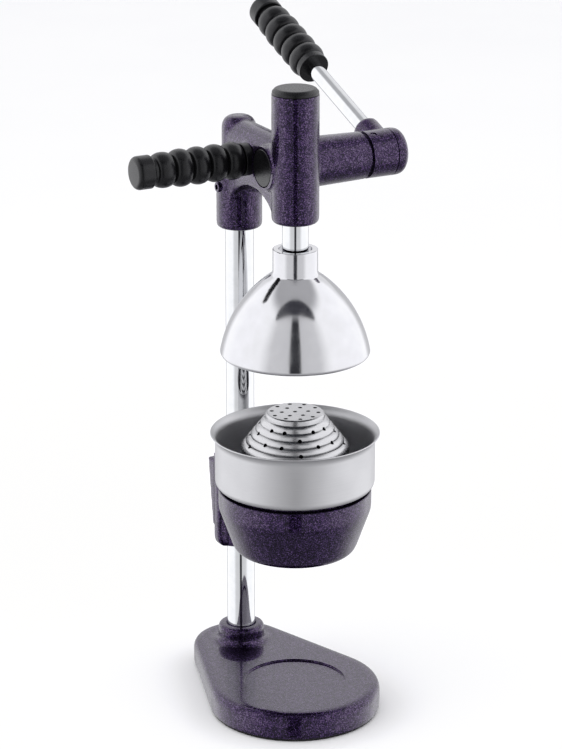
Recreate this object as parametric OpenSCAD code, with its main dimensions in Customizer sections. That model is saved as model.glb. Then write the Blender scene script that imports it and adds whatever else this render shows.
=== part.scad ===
// Hand press for pomegranates: a rack and pinion head on a column lowers a bell
// onto a strainer that stands in a bowl above the glass.
// X points right to the lever, Y points back to the column, Z points up.
// The origin is on the table, under the press axis.

/* [Base] */
// Radius of the front end of the base
base_front_r = 84; // [78:1:92]
// Radius of the rear end of the base
base_rear_r = 48; // [44:1:56]
// Height of the base casting
base_h = 25; // [22:1:30]
// Rounding of the upper edge of the base
base_edge_r = 7; // [4:1:9]
// Wall round the hollow of the base
base_wall = 12; // [10:1:15]
// Thickness of the plate above the hollow
base_plate = 10; // [8:1:12]
// Radius of the sunk ring that centres the glass
glass_rest_r = 50; // [40:1:60]
// Depth of the sunk ring
glass_rest_depth = 1.5; // [1:0.5:3]
// Wall of the socket round the column
socket_wall = 9; // [7:1:11]
// Height of the socket above the base
socket_h = 18; // [12:1:26]

/* [Foot ring] */
// Width of the rubber foot ring
foot_w = 8; // [6:1:9]
// Height of the rubber foot ring
foot_h = 5; // [4:1:8]
// Depth of the foot ring's groove in the base
foot_sink = 2; // [1:0.5:3]

/* [Column] */
// Outer diameter of the column tube
column_d = 28; // [24:1:31]
// Wall of the column tube
column_wall = 2.5; // [2:0.5:4]
// Distance from the press axis to the column axis
column_reach = 116; // [114:1:126]
// Depth of the recess for the column bolt's head
bolt_recess = 12; // [10:1:13]
// Thickness of the ledge that the column stands on
column_ledge = 5; // [4:1:8]
// Height of the plug in the foot of the column
plug_h = 18; // [14:1:30]

/* [Heights along the press axis] */
// Space for the glass between the base and the cup
glass_space = 140; // [120:1:160]
// Height of the cup that carries the bowl
cup_h = 66; // [58:1:76]
// Height of the bowl above the cup
bowl_h = 54.5; // [50:0.5:62]
// Height of the strainer's top above the bowl's rim
strainer_rise = 20; // [16:0.5:28]
// Gap between the strainer's top and the raised bell
fruit_gap = 58.5; // [50:0.5:70]
// Height of the bell with its neck
bell_h = 104; // [100:1:110]
// Bare rack between the bell's neck and the head
neck_gap = 26; // [18:1:34]

/* [Head] */
// Diameter of the front tube of the head
tower_d = 44.2; // [42:0.2:48]
// Diameter of the rear tube of the head
rear_d = 44; // [41:0.5:48]
// How far the rear tube reaches below the front tube
rear_drop = 33; // [26:1:40]
// Height of the pinion axis above the front tube's lower end
pinion_rise = 49.5; // [44:0.5:54]
// Height of the rear tube's top above the pinion axis
rear_top_rise = 28.5; // [24:0.5:32]
// Drop of the rear tube's shoulder below the pinion axis
rear_shoulder_drop = 6.5; // [4:0.5:9]
// Wall of the rear tube above its shoulder
rear_neck_wall = 2.5; // [2:0.25:3]
// Thickness of the web between the two tubes
web_t = 32; // [26:1:36]
// Drop of the web's back below the rear tube's top
web_drop = 2.5; // [1:0.5:4]
// Radius of the arch under the web
arch_r = 35; // [33:0.5:35.5]
// Height of the arch's crown above the front tube's lower end
arch_rise = 19.5; // [17:0.5:22]
// Rounding of the lower edges of both tubes
tube_edge_r = 4; // [2:0.5:5]
// Rounding of the rear tube's top
shoulder_r = 11; // [6:1:12]
// Height of the cap on the front tube
cap_h = 6; // [5:0.5:9]
// Length of the cap's spigot
cap_spigot = 4; // [3:0.5:6]
// Length of the rack's guide bushes
guide_bush_h = 22; // [16:1:24]
// Wall of the rack's guide bushes
guide_bush_wall = 3; // [2:0.5:4]

/* [Rack and pinion] */
// Diameter of the rack rod
rack_d = 25; // [24:0.5:26]
// Tooth module
gear_module = 2; // [1.8:0.1:2.1]
// Number of pinion teeth
gear_teeth = 16; // [14:1:17]
// Face width of the pinion
gear_w = 26; // [22:1:28]
// Swing of the lever in degrees
lever_swing = 210; // [150:5:220]
// Distance from the rack axis to the tips of its teeth
rack_tip = 8; // [7.5:0.1:8.5]
// Play between the teeth at the pitch line
tooth_play = 0.3; // [0.2:0.05:0.5]
// Rack left above the last tooth that meshes
rack_margin = 10; // [8:1:14]

/* [Pinion housing] */
// Distance from the press axis to the housing's left face
housing_left = 24; // [23.5:0.5:27]
// Distance from the press axis to the housing's right end
housing_right = 80.8; // [70:0.2:92]
// Radius of the housing left of the press axis
housing_left_r = 20.8; // [20.4:0.1:22]
// Radius of the housing at the head
housing_r = 24.4; // [23.5:0.1:25.5]
// Radius of the housing at its right end
housing_end_r = 22.4; // [21:0.1:23]
// Thickness of the plug that closes the housing on the left
end_plug_t = 8; // [6:0.5:8.5]
// Diameter of the shaft in the right bush
shaft_d = 26; // [22:1:26]
// Diameter of the shaft in the left bush
left_journal_d = 16; // [12:1:18]
// Wall of the shaft bushes
shaft_bush_wall = 2.5; // [1.5:0.5:3]

/* [Lever] */
// Outer radius of the lever hub
hub_r = 22.4; // [21:0.1:24]
// Length of the lever hub
hub_l = 42.2; // [38:0.1:46]
// Rounding of the hub's outer end
hub_edge_r = 7; // [4:0.5:8]
// Diameter of the shaft's end in the hub
shaft_end_d = 22; // [18:1:22]
// Angle of the resting lever back from upright
lever_lean = 70; // [50:1:80]
// Length of the lever from the pinion axis to its end
lever_l = 272; // [240:1:320]
// Diameter of the lever arm
arm_d = 16; // [14:1:18]
// Length of the hub's socket for the arm
arm_boss_l = 42; // [36:1:50]
// Metal between the shaft's end and the arm's end
arm_inset = 3; // [2:0.5:6]
// Wall of the hub's socket for the arm
arm_boss_wall = 5; // [4:0.5:6]
// Diameter of the cross pin in the hub
hub_pin_d = 6; // [4:0.5:7]

/* [Grips] */
// Length of each black grip
grip_l = 119; // [110:1:124]
// Largest diameter of the grips
grip_d = 36; // [33:0.5:38]
// Diameter at the bottom of the grooves
grip_groove_d = 26; // [23:0.5:28]
// Number of ribs between neck and end cap
grip_ribs = 5; // [4:1:6]
// Diameter of the smooth neck
grip_neck_d = 31.5; // [28:0.5:33]
// Length of the smooth neck
grip_neck_l = 8; // [4:0.5:10]
// Diameter of the smooth end cap
grip_cap_d = 32; // [29:0.5:34]
// Length of the smooth end cap
grip_cap_l = 17; // [14:0.5:20]
// Width of the groove before the end cap
grip_gap = 3.5; // [2:0.5:5]
// Distance from the press axis back to the side grip
side_grip_y = 65; // [62:0.5:70]
// How far the side grip's axis lies below the pinion axis
side_grip_drop = 1.5; // [0:0.5:3]
// How far the side grip's boss stands out from the web
side_boss_rise = 1; // [0.5:0.5:4]
// Distance from the press axis to the root of the side grip's stud
stud_root = 4; // [2:0.5:8]
// Diameter of the side grip's stud
stud_d = 10; // [8:1:12]

/* [Bell] */
// Radius of the bell at its rim
bell_r = 72; // [70:0.1:74]
// Radius of the arc that shapes the dome
dome_arc_r = 117; // [110:0.5:124]
// Drop of the arc's centre below the rim
dome_drop = 16.5; // [12:0.1:20]
// Radius of the neck
bell_neck_r = 21.5; // [20:0.1:23]
// Rounding between neck and dome
neck_fillet_r = 4; // [2:0.5:6]
// Chamfer on the neck's upper edge
neck_edge = 1; // [0.5:0.5:2]
// Wall of the bell at its rim
bell_wall = 4.5; // [3:0.5:6]
// Depth of the bell's hollow
bell_depth = 54; // [54:0.5:58]
// Depth of the rack's seat in the neck
rack_seat = 22; // [16:1:26]
// Width of the sunk ring on top of the neck
neck_ring_w = 3.5; // [2:0.5:5]
// Depth of the sunk ring on top of the neck
neck_ring_depth = 2.5; // [1:0.5:4]

/* [Bowl and strainer] */
// Outer radius of the bowl's wall
bowl_r = 77; // [76:0.1:78.4]
// How far the bowl's rolled rim stands out past its wall
rim_overhang = 4.8; // [4.2:0.1:7]
// Radius of the roll on the rim
rim_roll_r = 1.6; // [1.3:0.1:1.9]
// Height of the flare under the bowl's rim
flare_h = 9; // [7:0.5:12]
// Thickness of the bowl's sheet
bowl_sheet = 1.2; // [1:0.1:2]
// Rounding of the bowl's lower edge
bowl_corner_r = 10; // [8:0.5:11]
// Radius of the strainer's flat top
strainer_top_r = 28.8; // [26:0.1:32]
// Radius of the strainer's skirt
strainer_skirt_r = 52; // [48:0.5:55]
// Play between the strainer's foot and the rounding of the bowl's floor
strainer_play = 1.8; // [1:0.1:3]
// Number of grooves round the strainer
strainer_steps = 5; // [4:1:6]
// Height of the strainer's crown above the first groove
strainer_crown_h = 5; // [4:0.1:6]
// Height from one groove to the next
strainer_step_h = 6; // [5:0.1:6.5]
// How far the beads between the strainer's grooves swell
strainer_bead = 1.1; // [0.6:0.1:1.4]
// Thickness of the strainer's sheet
strainer_sheet = 1.6; // [1.2:0.1:2]
// Diameter of the strainer's holes
strainer_hole_d = 3.6; // [3:0.1:4]
// Holes in the inner ring of the strainer's top
inner_ring_holes = 6; // [4:1:6]
// Radius of the inner ring of holes in the strainer's top
inner_ring_r = 12.7; // [10:0.1:14]
// Holes in the outer ring of the strainer's top
outer_ring_holes = 10; // [8:1:12]
// Radius of the outer ring of holes in the strainer's top
outer_ring_r = 22.4; // [20:0.1:23.5]
// Angle by which the holes in the strainer's top are turned
top_hole_turn = 39; // [0:1:60]
// Holes round each band on the strainer's side
side_holes = 15; // [9:3:15]
// Angle by which the bands of holes are turned
side_hole_turn = 33; // [0:1:72]
// Outer diameter of the spout
spout_d = 30; // [26:1:34]
// Length of the spout below the cup
spout_below = 7; // [4:1:12]
// Radius of the funnel's mouth in the bowl's floor
funnel_mouth_r = 56; // [50:0.5:60]
// Depth of the bowl's funnel
funnel_h = 34; // [28:1:40]

/* [Cup and clamp] */
// How far the cup's upper band stands in from the bowl's wall
cup_inset = 3.4; // [1.8:0.1:3.8]
// Height of the cup's upper band
cup_band_h = 21; // [18:1:28]
// Radius of the cup where its lower edge turns in
cup_foot_r = 60.5; // [56:0.5:64]
// Rounding of the cup's lower edge
cup_edge_r = 10; // [6:0.5:11]
// Chamfer on the cup's upper edge
cup_rim_edge = 2; // [1:0.5:3]
// Wall of the cup
cup_wall = 7; // [5:0.5:8]
// Half the width of the clamp
clamp_half_w = 29.5; // [28:0.5:32]
// Rounding of the clamp's lower corners
clamp_corner_r = 11; // [6:0.5:12]
// Height of the clamp's front half
clamp_h = 99; // [88:1:104]
// How far the clamp's rear half ends above its front half
clamp_step = 15; // [8:1:20]
// How far the clamp's rear half stays below the cup's top
cap_drop = 8; // [4:1:10]
// Thickness of the clamp's front half
clamp_t = 10; // [9:0.5:12]
// Thickness of the clamp's rear half at its top
cap_top_t = 14; // [13:0.5:16]
// Thickness of the clamp's rear half at its foot
cap_foot_t = 3.5; // [3:0.5:6]
// Gap between the halves of the clamp
clamp_slit = 0.8; // [0.4:0.2:2]
// Wall of the clamp round the column
clamp_wall = 7; // [6:0.5:8]
// Width of the arm between cup and clamp
cup_arm_w = 44; // [36:1:50]

/* [Screws] */
// Diameter of the bell screw and the column bolt
screw_d = 10; // [8:1:10]
// Radius of their heads, over the corners
screw_head_r = 9; // [8.5:0.5:9.5]
// Height of their heads
screw_head_h = 7; // [6:0.5:8]
// Thickness of the washers
washer_t = 2; // [1.5:0.5:2.5]
// Thread left empty beyond the end of a screw
screw_end_gap = 2; // [1:0.5:4]
// Diameter of the grub screws that hold the column
grub_d = 10; // [8:1:12]
// How far the grub screws stand out
grub_rise = 3.5; // [1:0.5:5]
// Height of the upper grub screw above the rear tube's lower end
head_screw_rise = 42; // [36:1:48]
// Diameter of the clamp bolts
clamp_bolt_d = 5; // [4:0.5:5.5]
// Length of the clamp bolts under the head
clamp_bolt_l = 13; // [11:0.5:13.5]
// Radius of the clamp bolts' heads
clamp_head_r = 4.2; // [3.9:0.1:4.3]
// Height of the clamp bolts' heads
clamp_head_h = 5; // [4:0.5:5.5]
// Radius of the clamp bolts' washers
clamp_washer_r = 4.4; // [4.3:0.1:4.8]
// Metal left under the washers of the clamp bolts
bolt_seat = 3.2; // [2.8:0.1:3.6]
// Distance of the clamp bolts from the clamp's sides
bolt_edge = 6.2; // [6:0.1:6.6]
// Distance of the clamp bolts from the rear half's top
bolt_drop = 24; // [18:1:28]

/* [Clearances] */
// Running clearance between a moving piece and its seat
running_gap = 0.04; // [0.02:0.01:0.08]
// Clearance of pieces that are pressed or screwed together
seat_gap = 0.02; // [0.01:0.01:0.05]
// Clearance of bolts and teeth that must not touch
free_gap = 0.5; // [0.4:0.1:0.8]

/* [Hidden] */
$fn = 72;

PAINT = "#3a2748";
CHROME = "#c9ccd1";
ALUMINIUM = "#b7babf";
STAINLESS = "#cfd1d3";
BRONZE = "#a9803f";
BLACK = "#161617";
ZINC = "#9a9ca0";

// Overshoot of cutting tools
cut = 1;
// Pressure angle of the teeth and depth of a tooth below the pitch line
tooth_angle = 20;
tooth_root = 1.25 * gear_module;
// Points on each rounding, on the dome, on a bead and on each end of the base's plan
arc_steps = 8;
dome_steps = 20;
bead_steps = 4;
plan_steps = 36;

// Heights of the column's foot and of everything along the press axis
base_z = foot_h - foot_sink;
base_top = base_z + base_h;
column_r = column_d / 2;
socket_r = column_r + socket_wall;
column_z = base_z + bolt_recess + column_ledge;
foot_inset = (base_wall - foot_w) / 2;
holder_z = base_top + glass_space;
holder_top = holder_z + cup_h;
bowl_rim_z = holder_top + bowl_h;
strainer_top_z = bowl_rim_z + strainer_rise;
bell_z = strainer_top_z + fruit_gap;
bell_top = bell_z + bell_h;
head_z = bell_top + neck_gap;
pinion_z = head_z + pinion_rise;
rear_z = head_z - rear_drop;
rear_top = pinion_z + rear_top_rise;
rear_neck_r = column_r + rear_neck_wall;
rear_shoulder_r = rear_d / 2 - rear_neck_r;
rear_shoulder_z = pinion_z - rear_shoulder_drop;
web_top = rear_top - web_drop;
column_top = rear_top - shoulder_r;

// Gear sizes
gear_r = gear_module * gear_teeth / 2;
gear_tip_r = gear_r + gear_module;
gear_root_r = gear_r - tooth_root;
gear_base_r = gear_r * cos(tooth_angle);
tooth_pitch = PI * gear_module;
rack_r = rack_d / 2;
rack_pitch_y = rack_tip - gear_module;
pinion_y = rack_pitch_y + gear_r;
rack_travel = gear_r * lever_swing * PI / 180;
rack_z = bell_top - rack_seat;
rack_top = pinion_z + rack_travel + rack_margin;
tower_r = tower_d / 2;
tower_top = rack_top + free_gap + cap_spigot;
guide_bush_r = rack_r + guide_bush_wall;
arch_y = (tower_r + column_reach - rear_d / 2) / 2;
arch_z = head_z + arch_rise - arch_r;

// Pinion shaft along X
gear_bore_r = gear_tip_r + free_gap;
gear_right = gear_w / 2 + free_gap;
left_journal_r = left_journal_d / 2;
shaft_r = shaft_d / 2;
shaft_end_r = shaft_end_d / 2;
left_bush_r = left_journal_r + shaft_bush_wall;
right_bush_r = shaft_r + shaft_bush_wall;
plug_inner_x = -housing_left + end_plug_t;
bush_depth = end_plug_t - shaft_bush_wall;
hub_x = housing_right + 2 * free_gap;
hub_end_x = hub_x + hub_l;
shaft_end_x = hub_end_x - hub_edge_r;
arm_r = arm_d / 2;
arm_x = shaft_end_x - arm_r;
pin_x = (hub_x + arm_x - arm_r) / 2;
arm_root = shaft_end_r + arm_inset;

// Grips
stud_r = stud_d / 2;
grip_r = grip_d / 2;
grip_bore_l = grip_l - grip_cap_l;
side_boss_x = -web_t / 2 - side_boss_rise;
side_boss_r = grip_neck_d / 2;
side_grip_z = pinion_z - side_grip_drop;

// Bell
dome_r0 = bell_r - sqrt(pow(dome_arc_r, 2) - pow(dome_drop, 2));
inner_arc_r = dome_arc_r - bell_wall;
screw_r = screw_d / 2;
screw_pocket_r = screw_head_r + 2 * free_gap;
screw_pocket_h = screw_head_h + washer_t;
bell_ceiling = bell_z + bell_depth;

// Bowl, strainer and clamp
bowl_in_r = bowl_r - bowl_sheet;
bowl_floor_r = bowl_r - bowl_corner_r;
bowl_rim_r = bowl_r + rim_overhang;
rim_roll_x = bowl_rim_r - rim_roll_r;
flare_out = rim_roll_x - bowl_r;
flare_rise = flare_h - rim_roll_r;
flare_r = (pow(flare_out, 2) + pow(flare_rise, 2)) / (2 * flare_out);
spout_r = spout_d / 2;
cup_r = bowl_r - cup_inset;
strainer_z = holder_top + bowl_sheet;
strainer_foot_r = bowl_floor_r - strainer_play;
strainer_step_w = (strainer_skirt_r - strainer_top_r) / strainer_steps;
slope_normal = [strainer_step_h, strainer_step_w] / norm([strainer_step_h, strainer_step_w]);
clamp_z = holder_top - clamp_h;
clamp_bore_r = column_r + running_gap;
clamp_hump_r = clamp_bore_r + clamp_wall;
bolt_r = clamp_bolt_d / 2;
bolt_x = clamp_half_w - bolt_edge;
cap_z = clamp_z + clamp_step;
cap_top = holder_top - cap_drop;

// Points on an arc from one angle to another
function arc(cx, cy, r, from, to, n = arc_steps) =
    [for (i = [0:n]) [cx + r * cos(from + (to - from) * i / n), cy + r * sin(from + (to - from) * i / n)]];

// Radius of the dome's arc at a height above the bell's rim
function dome_at(z, r) = dome_r0 + sqrt(r * r - pow(z + dome_drop, 2));

// Height above the bell's rim where an arc reaches a radius
function dome_height(x, r) = sqrt(r * r - pow(x - dome_r0, 2)) - dome_drop;

// Involute of a pressure angle, in degrees
function involute(a) = tan(a) * 180 / PI - a;

// Half the angle that a pinion tooth spans at a radius
function tooth_half(r) =
    90 / gear_teeth - tooth_play / 2 / gear_r * 180 / PI
    + involute(tooth_angle) - involute(acos(min(1, gear_base_r / r)));

// Polar to plane
function at_angle(r, a) = [r * cos(a), r * sin(a)];

// A groove of the strainer in its section, counted from the top
function groove(i) =
    [strainer_top_r + strainer_step_w * i, strainer_top_z - strainer_crown_h - strainer_step_h * i];

// A point on the bead below a groove, at a share of the way to the next groove
function bead(i, share) =
    groove(i) + (groove(i + 1) - groove(i)) * share + slope_normal * strainer_bead * sin(180 * share);

module along_x(x) translate([x, 0, 0]) rotate([0, 90, 0]) children();

module at_pinion() translate([0, pinion_y, pinion_z]) children();

module at_column() translate([0, column_reach, 0]) children();

module along_lever() at_pinion() translate([arm_x, 0, 0]) rotate([-lever_lean, 0, 0]) children();

module at_side_grip() translate([side_boss_x, side_grip_y, side_grip_z]) rotate([0, -90, 0]) children();

module tube(r_out, r_in, h) {
    difference() {
        cylinder(r = r_out, h = h);
        translate([0, 0, -cut]) cylinder(r = r_in, h = h + 2 * cut);
    }
}

// Plan of the base: two round ends joined by their tangents
module base_plan(inset) {
    front = base_front_r - inset;
    rear = base_rear_r - inset;
    lean = asin((front - rear) / column_reach);
    polygon(concat(arc(0, 0, front, lean, -180 - lean, plan_steps),
        arc(0, column_reach, rear, 180 - lean, lean, plan_steps)));
}

module foot_plan(play) {
    difference() {
        base_plan(foot_inset - play);
        base_plan(foot_inset + foot_w + play);
    }
}

module rounded_disc(r) {
    translate([0, 0, base_z])
        rotate_extrude($fn = 48)
            polygon(concat([[0, 0], [r, 0]],
                arc(r - base_edge_r, base_h - base_edge_r, base_edge_r, 0, 90, 5), [[0, base_h]]));
}

module base() {
    color(PAINT) difference() {
        union() {
            hull() {
                rounded_disc(base_front_r);
                at_column() rounded_disc(base_rear_r);
            }
            at_column() translate([0, 0, base_z]) cylinder(r = socket_r, h = base_h + socket_h);
        }
        difference() {
            translate([0, 0, base_z - cut])
                linear_extrude(base_h - base_plate + cut) base_plan(base_wall);
            at_column() translate([0, 0, base_z - cut]) cylinder(r = socket_r, h = base_h);
        }
        translate([0, 0, base_z - cut]) linear_extrude(foot_sink + cut) foot_plan(seat_gap);
        translate([0, 0, base_top - glass_rest_depth]) cylinder(r = glass_rest_r, h = base_h);
        at_column() {
            translate([0, 0, column_z]) cylinder(r = column_r + seat_gap, h = base_h + socket_h);
            translate([0, 0, base_z]) cylinder(r = screw_r + free_gap, h = column_z);
            translate([0, 0, base_z - cut]) cylinder(r = screw_pocket_r, h = bolt_recess + cut);
            grub(socket_r, grub_d / 2 + seat_gap, base_top + socket_h / 2, 90);
        }
    }
}

// Grub screw that points at the column from a side of its socket
module grub(from_r, r, z, turn) {
    rotate([0, 0, turn]) translate([column_r + seat_gap, 0, z])
        along_x(0) cylinder(r = r, h = from_r - column_r + grub_rise);
}

module foot_ring() {
    color(BLACK) linear_extrude(foot_h) foot_plan(0);
}

module column() {
    color(CHROME) at_column() translate([0, 0, column_z])
        tube(column_r, column_r - column_wall, column_top - column_z);
}

module column_plug() {
    color(ZINC) at_column() translate([0, 0, column_z])
        tube(column_r - column_wall - seat_gap, screw_r + seat_gap, plug_h);
}

module column_washer() {
    color(ZINC) at_column() translate([0, 0, base_z + bolt_recess - washer_t])
        tube(screw_head_r, screw_r + seat_gap, washer_t);
}

module hex_screw(l) {
    cylinder(r = screw_r, h = l);
    translate([0, 0, -screw_head_h]) cylinder(r = screw_head_r, h = screw_head_h, $fn = 6);
}

module column_bolt() {
    color(ZINC) at_column() translate([0, 0, base_z + bolt_recess - washer_t])
        hex_screw(washer_t + column_ledge + plug_h - screw_end_gap);
}

module base_screw() {
    color(ZINC) at_column() grub(socket_r, grub_d / 2, base_top + socket_h / 2, 90);
}

// Section of the web, with a rounded back
module web_outline() {
    half = web_t / 2;
    polygon(concat([[-half, head_z + tube_edge_r], [half, head_z + tube_edge_r]],
        arc(0, web_top - half, half, 0, 180)));
}

module head_shell() {
    rotate_extrude() polygon(concat([[0, head_z]],
        arc(tower_r - tube_edge_r, head_z + tube_edge_r, tube_edge_r, -90, 0),
        [[tower_r, tower_top], [0, tower_top]]));
    at_column() rotate_extrude() polygon(concat([[0, rear_z]],
        arc(rear_d / 2 - tube_edge_r, rear_z + tube_edge_r, tube_edge_r, -90, 0),
        arc(rear_neck_r, rear_shoulder_z - rear_shoulder_r, rear_shoulder_r, 0, 90),
        arc(rear_neck_r - shoulder_r, rear_top - shoulder_r, shoulder_r, 0, 90),
        [[0, rear_top]]));
    difference() {
        translate([0, column_reach, 0]) rotate([90, 0, 0]) linear_extrude(column_reach) web_outline();
        translate([0, arch_y, arch_z]) along_x(-web_t) cylinder(r = arch_r, h = 2 * web_t);
    }
    at_pinion() {
        along_x(-housing_left) cylinder(r = housing_left_r, h = housing_left);
        along_x(0) cylinder(r1 = housing_r, r2 = housing_end_r, h = housing_right);
    }
    translate([side_boss_x, side_grip_y, side_grip_z])
        along_x(0) cylinder(r = side_boss_r, h = -side_boss_x);
}

module head() {
    color(PAINT) difference() {
        head_shell();
        translate([0, 0, head_z - cut]) cylinder(r = rack_r + free_gap, h = tower_top - head_z + 2 * cut);
        translate([0, 0, head_z - cut]) cylinder(r = guide_bush_r + seat_gap, h = guide_bush_h + cut);
        translate([0, 0, tower_top - cap_spigot - guide_bush_h])
            cylinder(r = guide_bush_r + seat_gap, h = guide_bush_h + cap_spigot + cut);
        at_pinion() {
            along_x(-housing_left - cut) cylinder(r = gear_bore_r, h = housing_left + gear_right + cut);
            along_x(0) cylinder(r = right_bush_r + seat_gap, h = housing_right + cut);
        }
        at_column() {
            translate([0, 0, rear_z - cut]) cylinder(r = column_r + seat_gap, h = column_top - rear_z + cut);
            grub(rear_d / 2, grub_d / 2 + seat_gap, rear_z + head_screw_rise, 180);
        }
        at_side_grip() translate([0, 0, side_boss_x + stud_root])
            cylinder(r = stud_r + seat_gap, h = grip_bore_l);
    }
}

module head_screw() {
    color(ZINC) at_column() grub(rear_d / 2, grub_d / 2, rear_z + head_screw_rise, 180);
}

module guide_bush(z) {
    translate([0, 0, z]) tube(guide_bush_r, rack_r + running_gap, guide_bush_h);
}

module lower_guide_bush() {
    color(BRONZE) guide_bush(head_z);
}

module upper_guide_bush() {
    color(BRONZE) guide_bush(tower_top - cap_spigot - guide_bush_h);
}

module top_cap() {
    color(BLACK) {
        translate([0, 0, tower_top - cap_spigot]) cylinder(r = guide_bush_r, h = cap_spigot);
        rotate_extrude() polygon(concat([[0, tower_top], [tower_r, tower_top]],
            arc(tower_r - cap_h / 2, tower_top + cap_h / 2, cap_h / 2, 0, 90), [[0, tower_top + cap_h]]));
    }
}

module end_plug() {
    color(BLACK) at_pinion() difference() {
        along_x(-housing_left) cylinder(r = gear_bore_r - seat_gap, h = end_plug_t);
        along_x(plug_inner_x - bush_depth) cylinder(r = left_bush_r + seat_gap, h = end_plug_t);
    }
}

module left_shaft_bush() {
    color(BRONZE) at_pinion() along_x(plug_inner_x - bush_depth)
        tube(left_bush_r, left_journal_r + running_gap, bush_depth);
}

module right_shaft_bush() {
    color(BRONZE) at_pinion() along_x(gear_right)
        tube(right_bush_r, shaft_r + running_gap, housing_right - gear_right);
}

// A ribbed grip that stands on its neck, with a bore for its rod
module ribbed_grip(bore_r, bore_l) {
    rib_pitch = (grip_bore_l - grip_neck_l - grip_gap) / grip_ribs;
    groove = grip_groove_d / 2;
    cap = grip_cap_d / 2;
    edge = grip_cap_l / 4;
    last = grip_ribs - 1;
    ribs = [for (i = [0:last], k = [0:arc_steps])
        let (crest = i == last ? (grip_r + cap) / 2 : grip_r)
        [groove + (crest - groove) * sqrt(sin(180 * k / arc_steps)),
         grip_neck_l + rib_pitch * (i + k / arc_steps)]];
    difference() {
        rotate_extrude() polygon(concat([[0, 0], [grip_neck_d / 2, 0], [grip_neck_d / 2, grip_neck_l]], ribs,
            [[groove, grip_bore_l]], arc(cap - edge, grip_bore_l + edge, edge, -90, 0),
            arc(cap - edge, grip_l - edge, edge, 0, 90), [[0, grip_l]]));
        translate([0, 0, -cut]) cylinder(r = bore_r + seat_gap, h = bore_l + cut);
    }
}

module side_grip_stud() {
    color(ZINC) at_side_grip() translate([0, 0, side_boss_x + stud_root])
        cylinder(r = stud_r, h = grip_bore_l - side_boss_x - stud_root);
}

module side_grip() {
    color(BLACK) at_side_grip() ribbed_grip(stud_r, grip_bore_l);
}

module gear_outline() {
    radii = [gear_root_r, gear_base_r, gear_r, (gear_r + gear_tip_r) / 2, gear_tip_r];
    last = len(radii) - 1;
    polygon([for (i = [0:gear_teeth - 1], k = [0:2 * last + 1])
        let (r = k <= last ? radii[k] : radii[2 * last + 1 - k],
             side = k <= last ? -1 : 1)
        at_angle(r, 360 * i / gear_teeth + side * tooth_half(r))]);
}

module pinion_shaft() {
    color(ZINC) at_pinion() difference() {
        union() {
            along_x(-gear_w / 2) rotate([0, 0, 90]) linear_extrude(gear_w) gear_outline();
            along_x(plug_inner_x - bush_depth + free_gap) cylinder(r = left_journal_r, h = housing_left);
            along_x(0) cylinder(r = shaft_r, h = hub_x);
            along_x(0) cylinder(r = shaft_end_r, h = shaft_end_x);
        }
        cross_pin(hub_pin_d / 2 + seat_gap, hub_r + cut);
    }
}

// Cross pin through hub and shaft, square to the arm
module cross_pin(r, half_l) {
    translate([pin_x, 0, 0]) rotate([90 - lever_lean, 0, 0])
        translate([0, 0, -half_l]) cylinder(r = r, h = 2 * half_l);
}

module lever_hub() {
    color(PAINT) difference() {
        union() {
            at_pinion() along_x(hub_x) rotate_extrude() polygon(concat([[0, 0], [hub_r, 0]],
                arc(hub_r - hub_edge_r, hub_l - hub_edge_r, hub_edge_r, 0, 90), [[0, hub_l]]));
            along_lever() cylinder(r = arm_r + arm_boss_wall, h = arm_boss_l);
        }
        at_pinion() along_x(hub_x - cut) cylinder(r = shaft_end_r + seat_gap, h = shaft_end_x - hub_x + cut);
        at_pinion() cross_pin(hub_pin_d / 2 + seat_gap, hub_r + cut);
        along_lever() translate([0, 0, arm_root]) cylinder(r = arm_r + seat_gap, h = arm_boss_l);
    }
}

module hub_pin() {
    color(ZINC) at_pinion() cross_pin(hub_pin_d / 2, hub_r);
}

module lever_arm() {
    color(CHROME) along_lever() translate([0, 0, arm_root])
        cylinder(r = arm_r, h = lever_l - grip_cap_l - arm_root);
}

module lever_grip() {
    color(BLACK) along_lever() translate([0, 0, lever_l - grip_l]) ribbed_grip(arm_r, grip_bore_l);
}

// Space between two teeth of the rack, open to the rear
module rack_space() {
    mid = tooth_pitch / 4 + tooth_play / 4;
    root_y = rack_pitch_y - tooth_root - free_gap / 2;
    tip_y = rack_tip + gear_module;
    half_root = mid - (rack_pitch_y - root_y) * tan(tooth_angle);
    half_tip = mid + (tip_y - rack_pitch_y) * tan(tooth_angle);
    along_x(-rack_d) linear_extrude(2 * rack_d) rotate([0, 0, 90])
        polygon([[root_y, -half_root], [tip_y, -half_tip], [tip_y, half_tip], [root_y, half_root]]);
}

module rack() {
    spaces = ceil((rack_top - pinion_z) / tooth_pitch);
    flat_z = pinion_z - gear_tip_r;
    color(CHROME) difference() {
        translate([0, 0, rack_z]) cylinder(r = rack_r, h = rack_top - rack_z);
        translate([-rack_d, rack_tip, flat_z]) cube([2 * rack_d, rack_d, rack_top]);
        for (i = [-1:spaces]) translate([0, 0, pinion_z + i * tooth_pitch]) rack_space();
        translate([0, 0, rack_z - cut]) cylinder(r = screw_r + seat_gap, h = rack_seat + cut);
    }
}

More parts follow.
